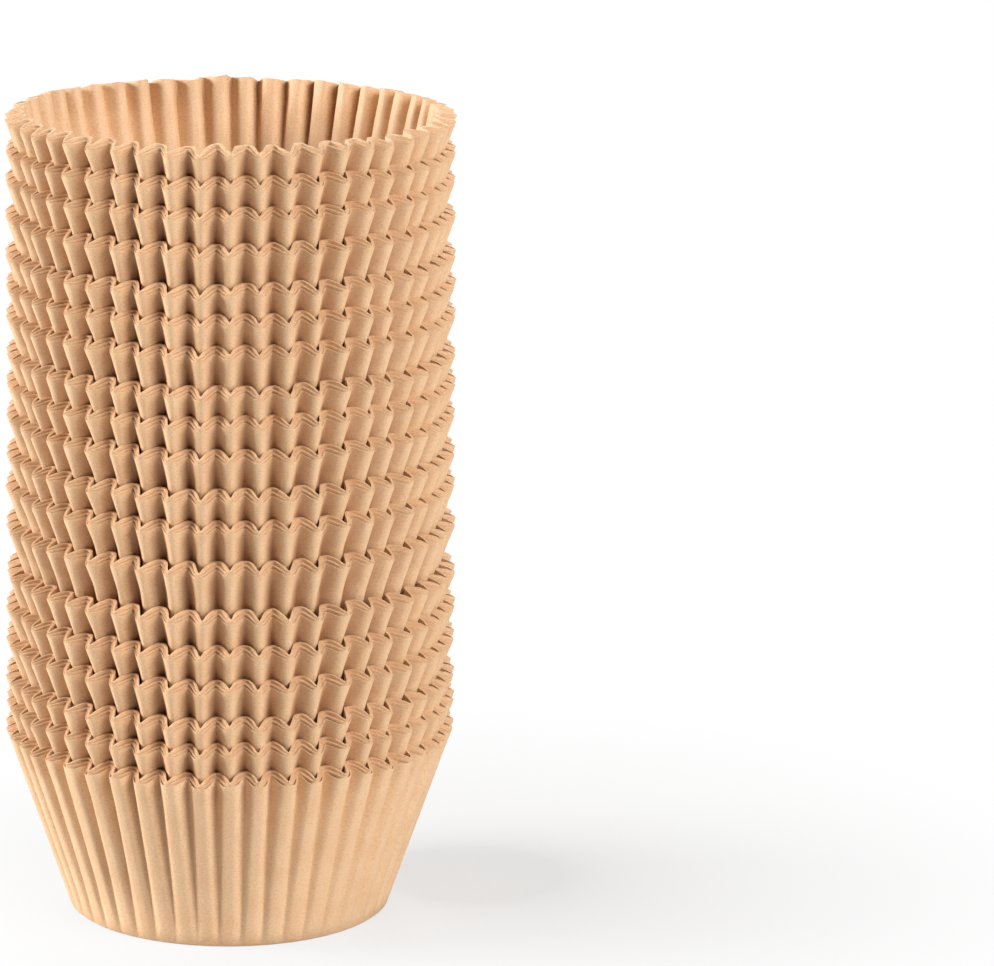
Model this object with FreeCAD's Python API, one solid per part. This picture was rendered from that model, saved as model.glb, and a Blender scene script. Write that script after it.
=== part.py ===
import FreeCAD, Part
import math
import os

# A stack of fluted paper cupcake liners. Each liner is a disc of paper pressed into a cup with a
# flat round base and a pleated wall. Liners lie three together in a tight nest, and the nests
# stand in each other, with a few millimetres of wall showing between one rim and the next.
# Millimetres, +Z up, origin at the centre of the lowest base, which rests on the surface.

# One liner
base_radius = 25.5
wall_slant = 31.0
rim_radius_top = 35.0
rim_radius_bottom = 35.7
flute_count = 48
flute_depth = 2.7
fold_width = 0.6
paper = 0.1

# The liners of one nest, from the outside in: the air between two papers, and how far each
# liner's base and rim stand above those of the liner around it
liner_names = ("outer", "middle", "inner")
layer_gap = 0.06
rim_step = 0.45

# Nests are counted from the lowest. The air left on the flanks where one nest is pushed as far
# as it goes into the nest below, and between a base and the base below it
seat_gap = 0.05
base_gap = 0.5

# For each nest above the lowest: how much higher it stands than pushed right in, then how much
# of the play that this gives is taken up by a turn about the axis, by a lean to the right and by
# a lean to the back
nest_lifts = (0.7, 0.2, 2.1, 1.3, 1.7, 3.5, 2.3, 1.0, 2.1, 0.9, 0.5, 2.0, 0.6, 0.4, 1.9, 1.2, 0.3, 0.4)
turn_shares = (0.3, 0.2, -0.5, 0.4, 0.5, -0.3, 0.4, -0.5, -0.4, 0.5, 0.3, -0.4, 0.5, 0.4, -0.5, 0.4, -0.4, 0.3)
right_shares = (0.2, -0.2, 0.3, -0.3, 0.2, -0.1, -0.2, 0.3, -0.2, 0.2, 0.1, -0.3, 0.3, -0.2, 0.2, -0.2, 0.2, -0.1)
back_shares = (-0.1, 0.2, -0.2, 0.3, -0.2, 0.2, 0.2, -0.3, -0.1, 0.3, -0.2, 0.1, -0.3, 0.2, 0.1, -0.2, 0.2, 0.1)

# Worked out from the sizes above
nest_count = len(nest_lifts) + 1
layer_pitch = paper + layer_gap
nest_thickness = layer_pitch * (len(liner_names) - 1) + paper
flute_angle = 2 * math.pi / flute_count
up = FreeCAD.Vector(0, 0, 1)


def around(radius, angle, height=0.0):
    """A point at a distance from the axis, at an angle about it."""
    return FreeCAD.Vector(radius * math.cos(angle), radius * math.sin(angle), height)


def rim_radius(nest):
    """The lowest nests are spread a little by the weight of those above."""
    share = nest / (nest_count - 1)
    return rim_radius_bottom + (rim_radius_top - rim_radius_bottom) * share


def middle_lines(nest):
    """The surface half way through a nest's papers: its base radius, and for each flute the four
    corners of the rim, two on the ridge and two in the valley. Every fold is as long as the
    paper's slant, so a ridge, which leans out further, ends lower than a valley."""
    base = base_radius - nest_thickness / 2
    ridge = rim_radius(nest) - nest_thickness / 2
    valley = ridge - flute_depth
    ridge_height = math.sqrt(wall_slant**2 - (ridge - base) ** 2)
    valley_height = math.sqrt(wall_slant**2 - (valley - base) ** 2)
    ridge_half = fold_width / 2 / ridge
    valley_half = fold_width / 2 / valley
    corners = []
    for flute in range(flute_count):
        crest = flute * flute_angle
        trough = crest + flute_angle / 2
        corners.append(around(ridge, crest - ridge_half, ridge_height))
        corners.append(around(ridge, crest + ridge_half, ridge_height))
        corners.append(around(valley, trough - valley_half, valley_height))
        corners.append(around(valley, trough + valley_half, valley_height))
    return base, corners


def outward(start, end):
    """The level normal, away from the axis, of a rim edge that runs anticlockwise."""
    return (end - start).cross(up).normalize()


def shifts(corners):
    """How each rim corner moves when the wall moves out by one: along the mitre of its two
    edges, and up or down with the slope of the flank, so that the rim's strip stays flat."""
    moves = []
    for index, corner in enumerate(corners):
        before = corners[index - 1]
        after = corners[(index + 1) % len(corners)]
        first = outward(before, corner)
        second = outward(corner, after)
        mitre = (first + second) / (1 + first.dot(second))
        # corners come in pairs, and the flank follows the second of each pair
        flank = after - corner if index % 2 else corner - before
        level = FreeCAD.Vector(flank.x, flank.y, 0)
        moves.append(mitre + up * (mitre.dot(level) * flank.z / level.dot(level)))
    return moves


def wall_points(nest, step, offset, base_height):
    """One side of a liner's wall. Its folds run from the base to the rim of the middle surface,
    moved out by the offset, and go on past that rim by the liner's step."""
    base, corners = middle_lines(nest)
    foot = []
    for index in range(2 * flute_count):
        angle = index * flute_angle / 2
        pair = corners[2 * index] + corners[2 * index + 1]
        fold = pair / 2 - around(base, angle)
        foot.append(around(base + offset, angle) + fold * (base_height / fold.z))
    ends = []
    for index, corner in enumerate(corners):
        fold = corner - around(base, index // 2 * flute_angle / 2)
        ends.append(corner + fold * (step / fold.z))
    rim = [end + move * offset for end, move in zip(ends, shifts(ends))]
    return foot, rim


def flat(*points):
    return Part.Face(Part.makePolygon([*points, points[0]]))


def wall_faces(foot, rim):
    """Six flat facets a flute. The paper is wide and smooth near the base, and each valley opens
    upwards from a point on the base's edge."""
    faces = []
    for flute in range(flute_count):
        crest = 2 * flute
        low_crest, low_trough = foot[crest], foot[crest + 1]
        low_next = foot[(crest + 2) % len(foot)]
        right_crest, left_crest, right_trough, left_trough = rim[2 * crest : 2 * crest + 4]
        next_crest = rim[(2 * crest + 4) % len(rim)]
        faces.append(flat(low_crest, left_crest, right_crest))
        faces.append(flat(low_crest, low_trough, left_crest))
        faces.append(flat(low_trough, right_trough, left_crest))
        faces.append(flat(low_trough, left_trough, right_trough))
        faces.append(flat(low_trough, next_crest, left_trough))
        faces.append(flat(low_trough, low_next, next_crest))
    return faces


def liner(nest, layer):
    """One cup of paper, closed all round: the wall's two sides, the cut edge at the rim, and the
    flat base's underside and top."""
    step = rim_step * layer
    offset = nest_thickness / 2 - layer_pitch * layer
    outer_foot, outer_rim = wall_points(nest, step, offset, step)
    inner_foot, inner_rim = wall_points(nest, step, offset - paper, step + paper)
    faces = wall_faces(outer_foot, outer_rim) + wall_faces(inner_foot, inner_rim)
    for index in range(len(outer_rim)):
        after = (index + 1) % len(outer_rim)
        faces.append(flat(outer_rim[index], outer_rim[after], inner_rim[after], inner_rim[index]))
    faces.append(flat(*outer_foot))
    faces.append(flat(*inner_foot))
    shell = Part.makeShell(faces)
    shell.sewShape()
    solid = Part.makeSolid(shell)
    if solid.Volume < 0:
        solid.reverse()
    return solid


def flank_lean(nest):
    """The flank of a flute is its steepest facet, so that is where nests touch. This gives how
    far the flank moves away square to itself for each millimetre that the nest is lifted, and
    how thick one millimetre of level thickness is, measured square to it."""
    base, corners = middle_lines(nest)
    left_crest, right_trough = corners[1], corners[2]
    low_trough = around(base, flute_angle / 2)
    square = (right_trough - low_trough).cross(left_crest - low_trough).normalize()
    return abs(square.z), abs(square.dot(outward(left_crest, right_trough)))


def placements():
    """Where each nest stands, from the lowest up."""
    place = FreeCAD.Placement()
    places = [place]
    for index, lift in enumerate(nest_lifts):
        lean, across = flank_lean(index + 1)
        flank_rise = (nest_thickness * across + seat_gap) / lean
        base_rise = rim_step * (len(liner_names) - 1) + paper + base_gap
        play = lift * lean
        turn = turn_shares[index] * play / rim_radius_top
        right = right_shares[index] * play / wall_slant
        back = back_shares[index] * play / wall_slant
        rise = FreeCAD.Placement(up * (max(flank_rise, base_rise) + lift), FreeCAD.Rotation())
        tilt = FreeCAD.Rotation(math.degrees(turn), math.degrees(right), math.degrees(-back))
        settle = FreeCAD.Placement(FreeCAD.Vector(), tilt, up * (wall_slant / 2))
        place = place * rise * settle
        places.append(place)
    return places


def build():
    os.makedirs("parts", exist_ok=True)
    for nest, place in enumerate(placements()):
        for layer, name in enumerate(liner_names):
            shape = liner(nest, layer)
            shape.Placement = place
            shape.exportStep(f"parts/nest_{nest + 1:02d}_{name}_liner.step")


build()
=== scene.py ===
import math

import bmesh
import bpy
from mathutils import Matrix, Vector


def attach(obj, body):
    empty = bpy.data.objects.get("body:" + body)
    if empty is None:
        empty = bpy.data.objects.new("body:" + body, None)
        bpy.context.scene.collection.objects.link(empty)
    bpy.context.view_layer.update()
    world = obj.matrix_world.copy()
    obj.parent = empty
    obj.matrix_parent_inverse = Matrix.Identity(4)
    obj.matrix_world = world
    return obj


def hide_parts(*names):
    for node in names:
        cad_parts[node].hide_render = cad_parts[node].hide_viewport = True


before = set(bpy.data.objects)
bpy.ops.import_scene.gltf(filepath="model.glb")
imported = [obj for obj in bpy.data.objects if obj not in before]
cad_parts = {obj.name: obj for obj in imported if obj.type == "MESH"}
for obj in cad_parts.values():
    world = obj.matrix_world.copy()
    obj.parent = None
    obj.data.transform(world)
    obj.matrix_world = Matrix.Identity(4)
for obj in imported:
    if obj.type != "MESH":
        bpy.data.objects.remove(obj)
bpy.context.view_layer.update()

bl_info = {
    "name": "Stack of cupcake liners",
    "version": (1, 0, 0),
    "blender": (4, 5, 0),
    "location": "3D View > Sidebar > Liners",
    "description": "A stack of nested, fluted paper cupcake liners on a pale floor",
    "category": "Mesh",
}

mm = 0.001
BODY = "root"
LAYER_NAMES = ("outer", "middle", "inner")

# For each nest above the lowest: how much higher it stands than pushed right in, in millimetres,
# then how much of the play that this gives goes into a turn, a lean to the right and to the back
NEST_LIFTS = (0.7, 0.2, 2.1, 1.3, 1.7, 3.5, 2.3, 1.0, 2.1,
              0.9, 0.5, 2.0, 0.6, 0.4, 1.9, 1.2, 0.3, 0.4)
TURN_SHARES = (0.3, 0.2, -0.5, 0.4, 0.5, -0.3, 0.4, -0.5, -0.4,
               0.5, 0.3, -0.4, 0.5, 0.4, -0.5, 0.4, -0.4, 0.3)
RIGHT_SHARES = (0.2, -0.2, 0.3, -0.3, 0.2, -0.1, -0.2, 0.3, -0.2,
                0.2, 0.1, -0.3, 0.3, -0.2, 0.2, -0.2, 0.2, -0.1)
BACK_SHARES = (-0.1, 0.2, -0.2, 0.3, -0.2, 0.2, 0.2, -0.3, -0.1,
               0.3, -0.2, 0.1, -0.3, 0.2, 0.1, -0.2, 0.2, 0.1)
NEST_COUNT = len(NEST_LIFTS) + 1

# One half flute of each liner, from the middle of the ridge to the middle of the valley: how far
# along it a column of points stands, how far in at the rim, and how far in lower down. The papers
# lie side by side round a fold, so the outer one is broad on the ridges and sharp in the valleys,
# and the inner one the reverse
OUTER_FOLD = ((0.0, 0.0, 0.03), (0.16, 0.012, 0.09), (0.32, 0.06, 0.24), (0.46, 0.17, 0.44),
              (0.62, 0.37, 0.70), (0.78, 0.57, 0.88), (0.9, 0.68, 0.97), (1.0, 0.72, 0.99))
MIDDLE_FOLD = ((0.0, 0.01, 0.01), (0.14, 0.04, 0.06), (0.3, 0.16, 0.21), (0.46, 0.36, 0.43),
               (0.62, 0.57, 0.69), (0.78, 0.74, 0.88), (0.9, 0.81, 0.96), (1.0, 0.83, 0.99))
INNER_FOLD = ((0.0, 0.01, 0.01), (0.1, 0.11, 0.04), (0.22, 0.35, 0.13), (0.36, 0.61, 0.31),
              (0.52, 0.84, 0.55), (0.68, 0.955, 0.78), (0.84, 0.995, 0.93), (1.0, 1.0, 1.0))
FOLDS = (OUTER_FOLD, MIDDLE_FOLD, INNER_FOLD)

# The lowest outer liner shows all its wall, with broad ridges and narrow valleys down to the base
OPEN_FOLD = ((0.0, 0.0, 0.0), (0.16, 0.006, 0.006), (0.32, 0.03, 0.03), (0.46, 0.1, 0.1),
             (0.62, 0.3, 0.3), (0.78, 0.6, 0.6), (0.9, 0.8, 0.8), (1.0, 0.86, 0.86))

# The thickness each liner is given at its rim, in millimetres, on which side of its middle surface
# (0 for both, 1 for outside), and the share of it lower down. A nest's three liners stand for the
# two to five papers of a real one, so the two inner ones are thick enough at the rim to fill its
# band
BULKS = ((0.15, 0, 1.0), (0.5, 0, 0.25), (0.42, 1, 0.25))

# Round folds lie closer together than flat facets: the share of the pitch that is kept
LAYER_SPREAD = 0.8

# How much lower each inner paper's rim is on the ridges, in millimetres, and how fast that fades
# to the sides
RIDGE_DIP = 0.1
DIP_FADE = 5

# The rows of points up a wall, as shares of its height, then the finer ones that are cut into a
# wall that shows: between which heights, in millimetres, and into how many more parts
GUIDE_ROWS = (0.09, 0.86)
FINER_ROWS = ((15, 32, 3), (2, 22, 1))
UPRIGHT_LENGTH = 2

# The soft bend between wall and base, as shares of its height: how far in and how far down. It
# starts a little outside the foot of the wall, in millimetres
KNEE_ROWS = ((0.34, 0.5), (0.85, 0.86), (1.6, 1.0))
KNEE_START = 0.2

# Heights that differ by less than this, in millimetres, are level
LEVEL = 0.02

# The unevenness of the free edge: for each pattern how wide its lumps are and how far it pushes,
# in millimetres. One pattern is stretched until it is the same at every height. The others are
# drawn out along the folds, and each nest takes them from another place. HELD_FOOT is the share of
# the height that keeps its place
WAVES = {"pressed waves": (5.5, 0.8), "own waves": (9, 0.6), "crinkles": (2.2, 0.5)}
SAME_AT_ALL_HEIGHTS = (1, 1, 400)
DRAWN_OUT = (1, 1, 3)
NEST_STRIDE = (0.3, 0.1)
HELD_FOOT = 0.03

# The painted shade in the creases, a darker colour that stands in for the shade deep in the folds:
# where it starts along the half flute, how much of it there is at the rim, how far below the rim it
# is full, in millimetres, and how much painted shade the papers within a nest have all over, for
# the shade they lie in behind the outer paper
CREASE_SHADE_START = 0.3
CREASE_SHADE_AT_RIM = 0.35
CREASE_SHADE_FULL = 4
# painted shade over all of each inner paper below the top nest, for the shade of the outer paper
BAND_SHADE = 0.12

# The paper's pattern lies in a UV map whose unit is 100 mm. There are 22 clouds to the unit, each
# about 4.5 mm wide, and the fibres are about 0.5 by 0.25 mm. Real fibres are finer: these are as
# coarse as they need to be to show. Each liner is cut from another place of the sheet: BLANK_STEP
# is how far on, and BLANK_SLOPE how much of that it goes to the side. FLAT_SHARE is the share of
# the knee's height that counts as base
BLANK_UNIT = 100
BLANK_STEP, BLANK_SLOPE = 0.37, 0.7
FLAT_SHARE = 0.6
CLOUDS = 22.0
FIBRES = (190.0, 420.0, 1.0)
CLOUD_SHARE = {"From Min": 0.4, "From Max": 0.8, "To Max": 0.5}
FIBRE_SHARE = {"From Min": 0.45, "From Max": 0.8, "To Max": 0.5}
FIBRE_HEIGHT = 0.03
PAPER_ROUGHNESS, FLOOR_ROUGHNESS = 0.6, 0.9

# Where a Mix node takes and gives its colours
MIX_FIRST, MIX_SECOND, MIX_RESULT = 6, 7, 2

# Folds are shaded round up to this angle, in degrees. The cut edge stays crisp
ROUND_UP_TO = 50


def size(name, description, default):
    """One length of the object that a user would change, in metres."""
    return bpy.props.FloatProperty(name=name, description=description, default=default,
                                   unit="LENGTH", precision=5)


def colour(name, description, code):
    """One colour of a finish, from its sRGB hex value."""
    return bpy.props.FloatVectorProperty(name=name, description=description, default=linear(code),
                                         size=3, subtype="COLOR", min=0.0, max=1.0)


def linear(code):
    """An sRGB hex value as the linear red, green and blue that Blender works with."""
    shares = [int(code[place:place + 2], 16) / 255 for place in (1, 3, 5)]
    return tuple(v / 12.92 if v <= 0.04045 else ((v + 0.055) / 1.055) ** 2.4 for v in shares)


class LinerSizes(bpy.types.PropertyGroup):
    base_radius: size("Base radius", "Outside radius of a liner's flat base", 25.5 * mm)
    wall_slant: size("Wall slant", "Length of the wall along a fold", 31 * mm)
    rim_top: size("Top rim radius", "Radius across the ridges of the top nest's rim", 35 * mm)
    rim_bottom: size("Bottom rim radius", "Radius across the ridges of the lowest rim", 35.7 * mm)
    flute_depth: size("Flute depth", "From ridge to valley at the rim", 2.7 * mm)
    fold_width: size("Fold width", "Flat part of a ridge or a valley at the rim", 0.6 * mm)
    paper: size("Paper", "Thickness of one paper", 0.1 * mm)
    layer_gap: size("Layer gap", "Air between two papers of one nest", 0.06 * mm)
    rim_step: size("Rim step", "How far each liner stands above the one around it", 0.45 * mm)
    seat_gap: size("Seat gap", "Air on the flanks of a nest pushed right in", 0.05 * mm)
    base_gap: size("Base gap", "Least air between the bases of two nests", 0.5 * mm)
    knee: size("Knee", "Height of the soft bend between base and wall", 0.5 * mm)
    flutes: bpy.props.IntProperty(name="Flutes", description="Flutes round a liner", default=48,
                                  min=8)


class LinerColours(bpy.types.PropertyGroup):
    face: colour("Paper", "The lit face of the paper", "#DFBB94")
    deep: colour("Deep paper", "Thicker, darker clouds in the paper", "#D4A374")
    fleck: colour("Fibre", "Single dark fibres", "#B47E50")
    # painted shade: multiplied into the paper's colour where shade falls in the creases and on
    # inner papers
    crease_shade: colour("Crease", "What is left of the colour in the depth of a crease", "#B8967F")
    cut: colour("Cut edge", "The pale cut edge at the rim", "#FBE8CC")
    floor: colour("Floor", "Floor and backdrop", "#C6C4C2")


def sizes():
    return bpy.context.scene.liner_sizes


def colours():
    return bpy.context.scene.liner_colours


def deselect():
    """Leaves edit mode and selects nothing, because operators act on all that is selected."""
    if bpy.context.object and bpy.context.object.mode != "OBJECT":
        bpy.ops.object.mode_set(mode="OBJECT")
    bpy.ops.object.select_all(action="DESELECT")


def take(piece):
    """Makes a piece the one that the next operators act on."""
    deselect()
    piece.select_set(True)
    bpy.context.view_layer.objects.active = piece


def pick(piece, test):
    """In edit mode, selects the points that pass a test, and the edges and faces between them."""
    bpy.ops.mesh.select_all(action="DESELECT")
    mesh = bmesh.from_edit_mesh(piece.data)
    for point in mesh.verts:
        point.select = test(point, mesh)
    mesh.select_flush(True)
    bmesh.update_edit_mesh(piece.data)


def thickness():
    """All the papers of a nest, with the air between them."""
    s = sizes()
    return (s.paper + s.layer_gap) * (len(LAYER_NAMES) - 1) + s.paper


def rim_lines(nest):
    """Half way through a nest's papers: the base radius, and the radius and height of the rim on
    the ridges and in the valleys. All folds are as long as the paper's slant."""
    s = sizes()
    share = nest / (NEST_COUNT - 1)
    base = s.base_radius - thickness() / 2
    ridge = s.rim_bottom + (s.rim_top - s.rim_bottom) * share - thickness() / 2
    valley = ridge - s.flute_depth
    ridge_height = math.sqrt(s.wall_slant ** 2 - (ridge - base) ** 2)
    valley_height = math.sqrt(s.wall_slant ** 2 - (valley - base) ** 2)
    return base, (ridge, ridge_height), (valley, valley_height)


def flank_square(nest):
    """The direction square to a flute's steepest facet, where nests touch, and its level part."""
    base, (ridge, ridge_height), (valley, valley_height) = rim_lines(nest)
    fold_half = sizes().fold_width / 2
    half = math.pi / sizes().flutes
    crest = Vector((ridge, fold_half, ridge_height))
    across = fold_half / valley
    trough = Vector((valley * math.cos(half - across), valley * math.sin(half - across),
                     valley_height))
    low = Vector((base * math.cos(half), base * math.sin(half), 0))
    square = (trough - low).cross(crest - low).normalized()
    along = trough - crest
    level = along.cross(Vector((0, 0, 1))).normalized()
    return abs(square.z), abs(square.dot(level))


def nest_places():
    """Where each nest stands, from the lowest up."""
    s = sizes()
    place = Matrix.Identity(4)
    places = [place.copy()]
    for index, lift in enumerate(NEST_LIFTS):
        lean, across = flank_square(index + 1)
        flank_rise = (thickness() * across + s.seat_gap) / lean
        base_rise = s.rim_step * (len(LAYER_NAMES) - 1) + s.paper + s.base_gap
        play = lift * mm * lean
        turn = TURN_SHARES[index] * play / s.rim_top
        right = RIGHT_SHARES[index] * play / s.wall_slant
        back = BACK_SHARES[index] * play / s.wall_slant
        rise = Matrix.Translation((0, 0, max(flank_rise, base_rise) + lift * mm))
        middle = Matrix.Translation((0, 0, s.wall_slant / 2))
        tilt = (Matrix.Rotation(turn, 4, "Z") @ Matrix.Rotation(right, 4, "Y")
                @ Matrix.Rotation(-back, 4, "X"))
        place = place @ rise @ middle @ tilt @ middle.inverted()
        places.append(place.copy())
    return places


def shape_row(piece, row, lines, fold, share, rise, dip, before):
    """Pulls one more row of points out of the last one, to a share of the way up the folds, and on
    by a rise past it, less a dip on the ridges. Each column keeps to its own place in the fold."""
    base, ridge, valley = lines
    slant = sizes().wall_slant
    bpy.ops.mesh.extrude_edges_move()
    mesh = bmesh.from_edit_mesh(piece.data)
    rows = mesh.verts.layers.int["row"]
    for point in mesh.verts:
        if point.select:
            point[rows] = row
    for column, (along, rim_depth, low_depth) in enumerate(fold):
        depth = rim_depth if share == 1 else low_depth
        radius = ridge + (valley - ridge) * depth
        height = math.sqrt(slant ** 2 - (radius - base) ** 2)
        on = share + (rise - dip * max(0, 1 - along * DIP_FADE)) / height
        radius, height = base + (radius - base) * on, height * on
        old_radius, old_height = before[column]
        pick(piece, lambda point, mesh: point[mesh.verts.layers.int["row"]] == row
             and point[mesh.verts.layers.int["column"]] == column)
        grow = radius / old_radius
        bpy.ops.transform.resize(value=(grow, grow, 1), center_override=(0, 0, 0))
        bpy.ops.transform.translate(value=(0, 0, height - old_height))
        before[column] = (radius, height)
    pick(piece, lambda point, mesh: point[mesh.verts.layers.int["row"]] == row)


def press_wall(nest, layer):
    """The wall of one liner: a ring of points at the base, spread to the columns of the folds,
    and pulled up row by row to the rim."""
    s = sizes()
    fold = FOLDS[layer]
    if nest == 0 and layer == 0:
        fold = OPEN_FOLD
    elif nest == NEST_COUNT - 1 and layer == len(LAYER_NAMES) - 1:
        fold = tuple((along, depth, depth) for along, depth, _ in fold)
    aside = (thickness() / 2 - s.paper / 2 - (s.paper + s.layer_gap) * layer) * LAYER_SPREAD
    base, (ridge, _), (valley, _) = rim_lines(nest)
    lines = (base + aside, ridge + aside, valley + aside)
    steps = len(fold) - 1
    count = 2 * steps * s.flutes
    deselect()
    bpy.ops.mesh.primitive_circle_add(vertices=count, radius=lines[0], fill_type="NOTHING")
    piece = bpy.context.object
    bpy.ops.object.mode_set(mode="EDIT")
    mesh = bmesh.from_edit_mesh(piece.data)
    mesh.verts.layers.int.new("row")
    columns = mesh.verts.layers.int.new("column")
    sides = mesh.verts.layers.int.new("side")
    for point in mesh.verts:
        place = round(math.atan2(point.co.y, point.co.x) / (2 * math.pi) * count) % (2 * steps)
        point[columns] = min(place, 2 * steps - place)
        point[sides] = 1 if place < steps else -1
    bmesh.update_edit_mesh(piece.data)
    for column, (along, _, _) in enumerate(fold):
        turn = (along - column / steps) * math.pi / s.flutes
        for side in (1, -1):
            if turn:
                pick(piece, lambda point, mesh: point[mesh.verts.layers.int["column"]] == column
                     and point[mesh.verts.layers.int["side"]] == side)
                bpy.ops.transform.rotate(value=-turn * side, orient_axis="Z",
                                         center_override=(0, 0, 0))
    bpy.ops.mesh.select_all(action="SELECT")
    before = {column: (lines[0], 0.0) for column in range(steps + 1)}
    ridge_dip = RIDGE_DIP * mm * layer if nest < NEST_COUNT - 1 else 0
    shares = [(share, 0, 0) for share in GUIDE_ROWS] + [(1, s.rim_step * layer, ridge_dip)]
    for row, (share, rise, dip) in enumerate(shares):
        shape_row(piece, row + 1, lines, fold, share, rise, dip, before)
    bpy.ops.mesh.select_all(action="SELECT")
    bpy.ops.mesh.normals_make_consistent(inside=False)
    bpy.ops.object.mode_set(mode="OBJECT")
    return piece


def upright_edges(piece, low, high):
    """In edit mode, selects the edges that run up the wall between two heights."""
    bpy.ops.mesh.select_all(action="DESELECT")
    mesh = bmesh.from_edit_mesh(piece.data)
    for edge in mesh.edges:
        heights = sorted(point.co.z for point in edge.verts)
        upright = heights[1] - heights[0] > UPRIGHT_LENGTH * mm
        if upright and heights[0] >= low and heights[1] <= high:
            edge.select = True
    bmesh.update_edit_mesh(piece.data)


def modify(piece, kind, **settings):
    """Gives a piece a modifier and applies it."""
    take(piece)
    modifier = piece.modifiers.new(kind.lower(), kind)
    for name, value in settings.items():
        setattr(modifier, name, value)
    bpy.ops.object.modifier_apply(modifier=modifier.name)


def waves(name, grain):
    """A cloud pattern that pushes paper about, with lumps of a real size."""
    texture = bpy.data.textures.get(name) or bpy.data.textures.new(name, type="CLOUDS")
    texture.cloud_type = "COLOR"
    texture.noise_scale = grain
    texture.noise_depth = 1
    return texture


def marker(name, place, stretch):
    """An empty that holds the place and the stretch of a pattern."""
    empty = bpy.data.objects.get(name)
    if empty is None:
        empty = bpy.data.objects.new(name, None)
        bpy.context.scene.collection.objects.link(empty)
    empty.location = place
    empty.scale = stretch
    bpy.context.view_layer.update()
    return empty


def grow_upwards(piece, name, start):
    """A vertex group that is nothing up to a share of the height and grows to one at the rim."""
    group = piece.vertex_groups.new(name=name)
    top = max(point.co.z for point in piece.data.vertices)
    for point in piece.data.vertices:
        group.add([point.index], max(0.0, (point.co.z / top - start) / (1 - start)), "REPLACE")


def paint_crease_shade(piece, fold, least):
    """Notes how much painted shade each point takes, from the least on a ridge to 1 low in a
    valley.
    It darkens the colour where shade falls deep in the fold, and less of it towards the rim."""
    crease_shades = piece.data.attributes.new("crease_shade", "FLOAT", "POINT")
    columns = piece.data.attributes["column"].data
    rim = max(point.co.z for point in piece.data.vertices)
    for point in piece.data.vertices:
        along = fold[columns[point.index].value][0]
        below = min(1.0, (rim - point.co.z) / (CREASE_SHADE_FULL * mm))
        share = max(0.0, (along - CREASE_SHADE_START) / (1 - CREASE_SHADE_START))
        share *= CREASE_SHADE_AT_RIM + (1 - CREASE_SHADE_AT_RIM) * below
        crease_shades.data[point.index].value = least + (1 - least) * share


def crumple(piece, nest, layer):
    """The same slight unevenness in every nest, as they were pressed together, and a little of
    each nest's own at the free edge. The innermost paper of the stack is crinkled as well."""
    grow_upwards(piece, "free", HELD_FOOT)
    together = marker("together", (0, 0, 0), SAME_AT_ALL_HEIGHTS)
    alone = marker("alone", (NEST_STRIDE[0] * nest, NEST_STRIDE[1] * nest, 0), DRAWN_OUT)
    places = {"pressed waves": together, "own waves": alone}
    if nest == NEST_COUNT - 1 and layer == len(LAYER_NAMES) - 1:
        places["crinkles"] = alone
    for name, place in places.items():
        grain, push = WAVES[name]
        modify(piece, "DISPLACE", texture=waves(name, grain * mm), texture_coords="OBJECT",
               texture_coords_object=place, direction="RGB_TO_XYZ", strength=push * mm,
               mid_level=0.5, vertex_group="free")


def close_foot(piece, foot):
    """Turns the wall's foot inwards over a soft knee and closes it with the flat base."""
    s = sizes()
    take(piece)
    bpy.ops.object.mode_set(mode="EDIT")
    lowest = min(point.co.z for point in piece.data.vertices)
    pick(piece, lambda point, mesh: point.co.z < lowest + LEVEL * mm)
    ring = [Vector(point.co[:2]).length for point in bmesh.from_edit_mesh(piece.data).verts
            if point.select]
    radius = sum(ring) / len(ring)
    height = lowest
    for inwards, drop in KNEE_ROWS:
        bpy.ops.mesh.extrude_edges_move()
        goal_height = foot + s.knee * (1 - drop)
        goal_radius = s.base_radius - thickness() / 2 - s.knee * inwards + KNEE_START * mm
        grow = goal_radius / radius
        bpy.ops.transform.resize(value=(grow, grow, 1), center_override=(0, 0, 0))
        bpy.ops.transform.translate(value=(0, 0, goal_height - height))
        radius, height = goal_radius, goal_height
    bpy.ops.mesh.edge_face_add()
    bpy.ops.mesh.select_all(action="SELECT")
    bpy.ops.mesh.normals_make_consistent(inside=False)
    bpy.ops.object.mode_set(mode="OBJECT")


def lay_blank(piece, foot, shift):
    """Gives each point its place on the flat round blank that the liner was pressed from, so that
    the grain of the paper runs as it does on the real one."""
    unit = BLANK_UNIT * mm
    base, knee = sizes().base_radius, sizes().knee
    layer = piece.data.uv_layers.get("blank") or piece.data.uv_layers.new(name="blank")
    points = piece.data.vertices
    for loop in piece.data.loops:
        x, y, z = points[loop.vertex_index].co
        radius = math.hypot(x, y)
        flat = z < foot + knee * FLAT_SHARE
        along = radius if flat else base + math.hypot(radius - base, z - foot)
        turn = math.atan2(y, x)
        layer.data[loop.index].uv = (along * math.cos(turn) / unit + shift,
                                     along * math.sin(turn) / unit + shift * BLANK_SLOPE)
    for other in [each for each in piece.data.uv_layers if each.name != "blank"]:
        piece.data.uv_layers.remove(other)


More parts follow.
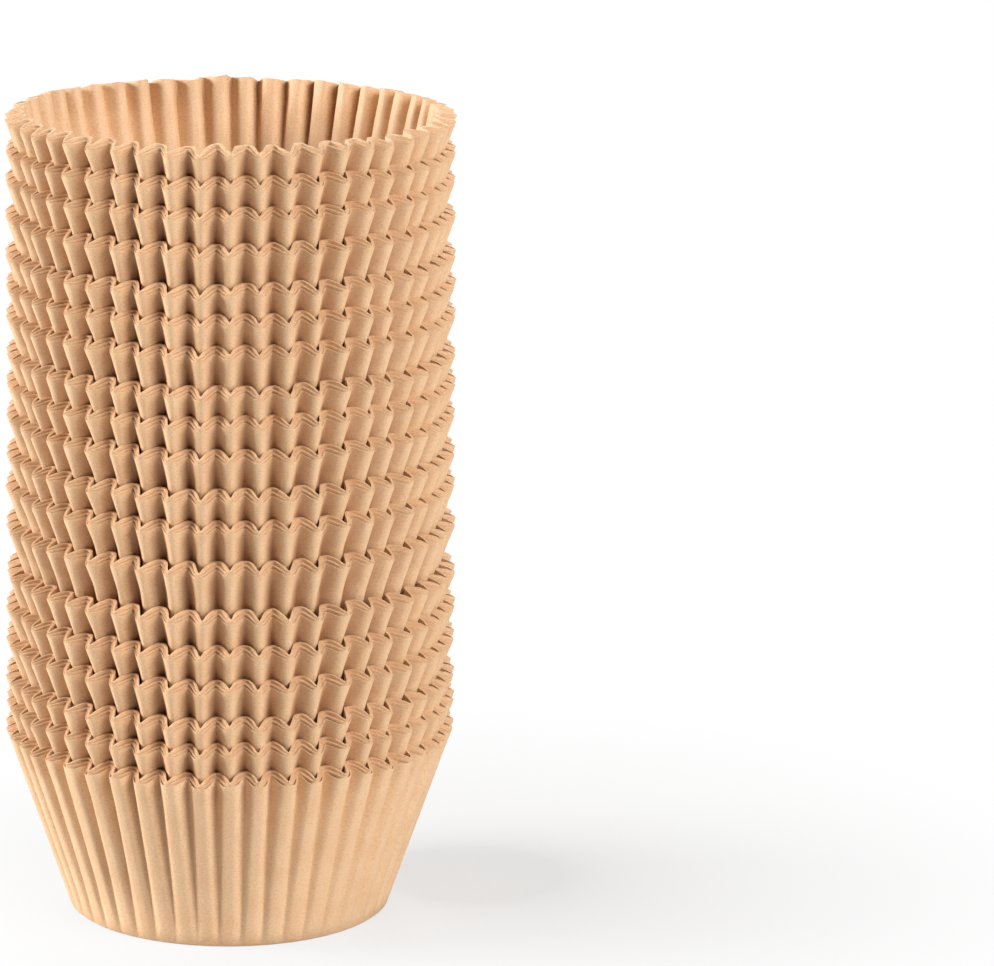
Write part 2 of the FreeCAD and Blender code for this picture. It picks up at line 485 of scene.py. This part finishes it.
def make_liner(nest, layer, place):
    """One liner: its pressed wall, cut off at its foot, closed with its base and given the
    thickness of paper."""
    s = sizes()
    name = f"nest_{nest + 1:02d}_{LAYER_NAMES[layer]}"
    piece = press_wall(nest, layer)
    piece.name = piece.data.name = name + "_paper"
    take(piece)
    foot = s.rim_step * layer
    shown = layer == 0 or nest == NEST_COUNT - 1
    bpy.ops.object.mode_set(mode="EDIT")
    if shown:
        for low, high, cuts in FINER_ROWS:
            upright_edges(piece, low * mm, high * mm)
            bpy.ops.mesh.subdivide(number_cuts=cuts)
    bpy.ops.mesh.select_all(action="SELECT")
    bpy.ops.mesh.bisect(plane_co=(0, 0, foot + s.knee), plane_no=(0, 0, 1), clear_inner=True)
    bpy.ops.object.mode_set(mode="OBJECT")
    # painted shade: the outer liners above the lowest are darker in their valleys
    if layer == 0 and nest > 0:
        paint_crease_shade(piece, FOLDS[layer], 0.0)
    # painted shade: the inner papers below the top nest are darker all over, more so in their
    # valleys
    elif layer > 0 and nest < NEST_COUNT - 1:
        paint_crease_shade(piece, FOLDS[layer], BAND_SHADE)
    crumple(piece, nest, layer)
    grow_upwards(piece, "rim", GUIDE_ROWS[-1])
    bulk, side, low_share = BULKS[layer]
    close_foot(piece, foot + bulk * low_share * mm * (1 + side) / 2)
    modify(piece, "SOLIDIFY", thickness=bulk * mm, offset=side, use_even_offset=layer == 0,
           vertex_group="rim", thickness_vertex_group=low_share, use_rim=True,
           material_offset_rim=1)
    lay_blank(piece, foot, BLANK_STEP * (nest * len(LAYER_NAMES) + layer))
    piece.matrix_world = place
    take(piece)
    bpy.ops.object.transform_apply(location=True, rotation=True, scale=True)
    bpy.ops.object.shade_smooth_by_angle(angle=math.radians(ROUND_UP_TO))
    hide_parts(name + "_liner")
    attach(piece, BODY)
    return piece


def add_node(tree, kind, settings=None, links=None):
    """Adds a node, sets its properties or sockets and links its inputs."""
    node = tree.nodes.new(kind)
    for name, value in (settings or {}).items():
        if name in node.inputs:
            node.inputs[name].default_value = value
        else:
            setattr(node, name, value)
    for name, source in (links or {}).items():
        tree.links.new(source, node.inputs[name])
    return node


def paper_material(name, face):
    """Unbleached greaseproof paper, machine-made and pressed with heat: satin, with soft clouds,
    brown fibres that can just be felt, and painted shade that darkens its colour in the creases."""
    material = bpy.data.materials.new(name)
    material.use_nodes = True
    tree = material.node_tree
    shader = tree.nodes["Principled BSDF"]
    blank = add_node(tree, "ShaderNodeUVMap", {"uv_map": "blank"}).outputs["UV"]
    clouds = add_node(tree, "ShaderNodeTexNoise", {"Scale": CLOUDS, "Detail": 4.0},
                      {"Vector": blank})
    across = add_node(tree, "ShaderNodeMapping", {"Scale": FIBRES}, {"Vector": blank})
    fibres = add_node(tree, "ShaderNodeTexNoise", {"Scale": 1.0, "Detail": 3.0},
                      {"Vector": across.outputs["Vector"]})
    share = add_node(tree, "ShaderNodeMapRange", CLOUD_SHARE, {"Value": clouds.outputs["Fac"]})
    base = add_node(tree, "ShaderNodeMix", {"data_type": "RGBA"},
                    {"Factor": share.outputs["Result"]})
    base.inputs[MIX_FIRST].default_value = (*face, 1)
    base.inputs[MIX_SECOND].default_value = (*colours().deep, 1)
    fleck = add_node(tree, "ShaderNodeMapRange", FIBRE_SHARE, {"Value": fibres.outputs["Fac"]})
    mixed = add_node(tree, "ShaderNodeMix", {"data_type": "RGBA"},
                     {"Factor": fleck.outputs["Result"]})
    tree.links.new(base.outputs[MIX_RESULT], mixed.inputs[MIX_FIRST])
    mixed.inputs[MIX_SECOND].default_value = (*colours().fleck, 1)
    # painted shade: this attribute darkens the paper's colour where the folds and outer papers cast
    # shade
    depth = add_node(tree, "ShaderNodeAttribute", {"attribute_name": "crease_shade"})
    crease_shaded = add_node(tree, "ShaderNodeMix", {"data_type": "RGBA", "blend_type": "MULTIPLY"},
                       {"Factor": depth.outputs["Fac"]})
    tree.links.new(mixed.outputs[MIX_RESULT], crease_shaded.inputs[MIX_FIRST])
    crease_shaded.inputs[MIX_SECOND].default_value = (*colours().crease_shade, 1)
    tree.links.new(crease_shaded.outputs[MIX_RESULT], shader.inputs["Base Color"])
    bump = add_node(tree, "ShaderNodeBump", {"Strength": 0.8, "Distance": FIBRE_HEIGHT * mm},
                    {"Height": fibres.outputs["Fac"]})
    tree.links.new(bump.outputs["Normal"], shader.inputs["Normal"])
    shader.inputs["Roughness"].default_value = PAPER_ROUGHNESS
    return material


class LinerStackLiners(bpy.types.Operator):
    """Nineteen nests of three liners, standing in each other"""
    bl_idname = "liner_stack.liners"
    bl_label = "Liners"

    def execute(self, context):
        paper = paper_material("unbleached greaseproof paper", colours().face)
        edge = paper_material("cut paper edge", colours().cut)
        for nest, place in enumerate(nest_places()):
            for layer in range(len(LAYER_NAMES)):
                piece = make_liner(nest, layer, place)
                piece.data.materials.append(paper)
                piece.data.materials.append(edge)
        for name in ("together", "alone"):
            bpy.data.objects.remove(bpy.data.objects[name])
        return {"FINISHED"}


# The photograph's viewpoint: a long lens a little above the rim, turned so that the stack stands
# left of the middle
LENS = 193.95
SENSOR = 36.0
CAMERA_PLACE = (0.0, -0.82735, 0.26839)
CAMERA_YAW, CAMERA_PITCH, CAMERA_ROLL = 2.935, 13.531, 0.789
NEAREST, FURTHEST = 0.01, 20


class LinerStackCamera(bpy.types.Operator):
    """The camera at the photograph's viewing angle"""
    bl_idname = "liner_stack.camera"
    bl_label = "Camera"

    def execute(self, context):
        deselect()
        bpy.ops.object.camera_add(location=CAMERA_PLACE)
        camera = context.object
        yaw = Matrix.Rotation(-math.radians(CAMERA_YAW), 4, "Z")
        tilt = Matrix.Rotation(math.radians(90 - CAMERA_PITCH), 4, "X")
        roll = Matrix.Rotation(math.radians(CAMERA_ROLL), 4, "Z")
        camera.matrix_world = Matrix.Translation(CAMERA_PLACE) @ yaw @ tilt @ roll
        camera.data.lens = LENS
        camera.data.sensor_width = SENSOR
        camera.data.clip_start, camera.data.clip_end = NEAREST, FURTHEST
        context.scene.camera = camera
        return {"FINISHED"}


# The soft boxes, all turned to the middle of the stack: where each stands, its width and its watts
STACK_MIDDLE = (0, 0, 0.07)
LAMPS = {"key": ((-1.75, -0.02, 0.54), 0.8, 53),
         "fill": ((1.08, -1.08, 0.92), 1.2, 40),
         "top": ((-0.1, 0.1, 1.8), 0.8, 3),
         "back": ((0.1, 1.7, 0.8), 0.9, 14)}
WORLD_LIGHT = 0.02

# The floor shows its own paint and shadow most round a point to the right of the stack, where the
# shadow falls. The share of white there, and how it grows to 1 between two distances, in metres
FLOOR_WIDTH = 8
SHADOW_MIDDLE = (0.04, 0.012, 0)
SHADOW_NEAR, SHADOW_FAR = 0.015, 0.1
LEAST_WHITE = 0.5
WHITE_BEND = 0.6


def lamp(name, place, width, watts):
    """A square soft box that faces the stack."""
    deselect()
    bpy.ops.object.light_add(type="AREA", location=place)
    light = bpy.context.object
    light.name = name
    light.data.size = width
    light.data.energy = watts
    sight = Vector(STACK_MIDDLE) - Vector(place)
    light.rotation_euler = sight.to_track_quat("-Z", "Y").to_euler()


class LinerStackStage(bpy.types.Operator):
    """A pale floor and soft studio light"""
    bl_idname = "liner_stack.stage"
    bl_label = "Stage"

    def execute(self, context):
        deselect()
        bpy.ops.mesh.primitive_plane_add(size=FLOOR_WIDTH)
        floor = context.object
        floor.name = "floor"
        material = bpy.data.materials.new("matt white paint")
        material.use_nodes = True
        tree = material.node_tree
        shader = tree.nodes["Principled BSDF"]
        shader.inputs["Base Color"].default_value = (*colours().floor, 1)
        shader.inputs["Roughness"].default_value = FLOOR_ROUGHNESS
        # white for the camera and in reflections, and plain paint for all other light
        place = add_node(tree, "ShaderNodeTexCoord").outputs["Object"]
        away = add_node(tree, "ShaderNodeVectorMath", {"operation": "DISTANCE"}, {"Vector": place})
        away.inputs[1].default_value = SHADOW_MIDDLE
        reach = add_node(tree, "ShaderNodeMapRange",
                         {"From Min": SHADOW_NEAR, "From Max": SHADOW_FAR},
                         {"Value": away.outputs["Value"]})
        bend = add_node(tree, "ShaderNodeMath", {"operation": "POWER"})
        tree.links.new(reach.outputs["Result"], bend.inputs[0])
        bend.inputs[1].default_value = WHITE_BEND
        far = add_node(tree, "ShaderNodeMapRange", {"To Min": LEAST_WHITE},
                       {"Value": bend.outputs["Value"]})
        path = add_node(tree, "ShaderNodeLightPath")
        seen = path.outputs["Is Camera Ray"]
        for ray in ("Is Glossy Ray", "Is Transmission Ray"):
            either = add_node(tree, "ShaderNodeMath", {"operation": "ADD", "use_clamp": True})
            tree.links.new(seen, either.inputs[0])
            tree.links.new(path.outputs[ray], either.inputs[1])
            seen = either.outputs["Value"]
        shown = add_node(tree, "ShaderNodeMath", {"operation": "MULTIPLY"})
        tree.links.new(far.outputs["Result"], shown.inputs[0])
        tree.links.new(seen, shown.inputs[1])
        glow = add_node(tree, "ShaderNodeEmission", {"Color": (1, 1, 1, 1)})
        mixed = add_node(tree, "ShaderNodeMixShader", {}, {"Fac": shown.outputs["Value"]})
        tree.links.new(shader.outputs["BSDF"], mixed.inputs[1])
        tree.links.new(glow.outputs["Emission"], mixed.inputs[2])
        tree.links.new(mixed.outputs["Shader"], tree.nodes["Material Output"].inputs["Surface"])
        floor.data.materials.append(material)
        for name, (place, width, watts) in LAMPS.items():
            lamp(name, place, width, watts)
        world = bpy.data.worlds.new("studio")
        world.use_nodes = True
        sky = world.node_tree.nodes["Background"]
        sky.inputs["Color"].default_value = (1, 1, 1, 1)
        sky.inputs["Strength"].default_value = WORLD_LIGHT
        context.scene.world = world
        context.scene.view_settings.view_transform = "Standard"
        return {"FINISHED"}


class LinerStackPanel(bpy.types.Panel):
    bl_idname = "VIEW3D_PT_liner_stack"
    bl_label = "Cupcake liners"
    bl_space_type = "VIEW_3D"
    bl_region_type = "UI"
    bl_category = "Liners"

    def draw(self, context):
        for group in (sizes(), colours()):
            for name in group.__annotations__:
                self.layout.prop(group, name)
        for operator in (LinerStackCamera, LinerStackLiners, LinerStackStage):
            self.layout.operator(operator.bl_idname)


CLASSES = (LinerSizes, LinerColours, LinerStackCamera, LinerStackLiners, LinerStackStage,
           LinerStackPanel)


def register():
    for each in CLASSES:
        bpy.utils.register_class(each)
    bpy.types.Scene.liner_sizes = bpy.props.PointerProperty(type=LinerSizes)
    bpy.types.Scene.liner_colours = bpy.props.PointerProperty(type=LinerColours)


def unregister():
    del bpy.types.Scene.liner_sizes
    del bpy.types.Scene.liner_colours
    for each in reversed(CLASSES):
        bpy.utils.unregister_class(each)


def main():
    register()
    bpy.ops.liner_stack.camera()
    bpy.ops.liner_stack.liners()
    bpy.ops.liner_stack.stage()


if __name__ == "__main__":
    main()
